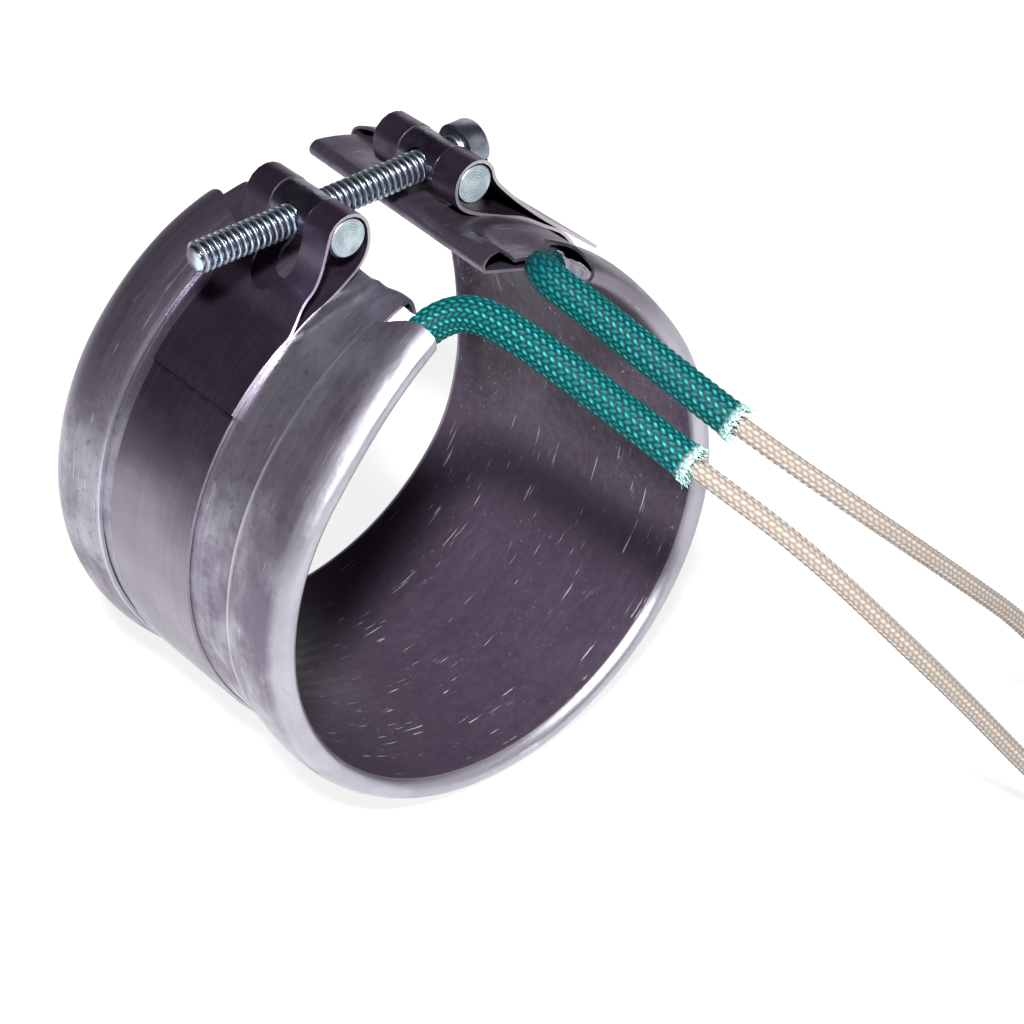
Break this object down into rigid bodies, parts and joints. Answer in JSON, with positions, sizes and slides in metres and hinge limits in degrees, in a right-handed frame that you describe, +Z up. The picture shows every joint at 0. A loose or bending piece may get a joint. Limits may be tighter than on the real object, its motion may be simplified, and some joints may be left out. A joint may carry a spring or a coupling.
{
  "type": "band heater",
  "caption": "Split band heater: a rolled steel sheath with mica insulation inside, a folded strap clamp with a screw across the gap, and two sleeved leads.",
  "frame": {"origin": "on the axis of the bore, midway along the band", "axes": "+Y along the bore from the lead side to the far side, +Z up through the gap, +X along the clamp screw towards its head"},
  "size_m": [0.1629, 0.1619, 0.0938],
  "materials": {
    "sheath_steel": "rolled, lightly scratched",
    "cover_steel": "rolled, blotchy",
    "strap_steel": "brushed along the band",
    "barrel_zinc": "zinc plated, turned ends",
    "screw_zinc": "bright zinc plated",
    "mica": "built-up mica sheet",
    "ribbon_alloy": "rolled resistance ribbon",
    "terminal_nickel": "nickel plated",
    "pad_white": "rough glass fibre",
    "sleeve_green": "lacquered braid",
    "lead_cream": "glass fibre braid",
    "strand_nickel": "twisted strands"
  },
  "bodies": {
    "band": {"sheath": "sheath_steel", "cover_strip": "cover_steel", "clamp_strap": "strap_steel", "thread_barrel": "barrel_zinc", "mica_inner": "mica", "mica_core": "mica", "mica_outer": "mica", "resistance_ribbon": "ribbon_alloy", "terminal_left": "terminal_nickel", "rivet_left": "terminal_nickel", "exit_pad_left": "pad_white", "sleeve_left": "sleeve_green", "lead_left": "lead_cream", "coil_left": "lead_cream", "strand_left": "strand_nickel", "terminal_right": "terminal_nickel", "rivet_right": "terminal_nickel", "exit_pad_right": "pad_white", "sleeve_right": "sleeve_green", "lead_right": "lead_cream", "coil_right": "lead_cream", "strand_right": "strand_nickel"},
    "screw": {"clamp_screw": "screw_zinc"},
    "head_pin": {"head_barrel": "barrel_zinc"}
  },
  "joints": [
    {"name": "screw_turn", "type": "hinge", "parent": "band", "child": "screw", "pos_m": [0.0131, 0.00392, 0.0477], "axis": [1, 0, 0], "continuous": true},
    {"name": "head_barrel_swivel", "type": "hinge", "parent": "band", "child": "head_pin", "pos_m": [0.0131, 0.00392, 0.0477], "axis": [0, 1, 0], "range_deg": [-3, 3]}
  ]
}
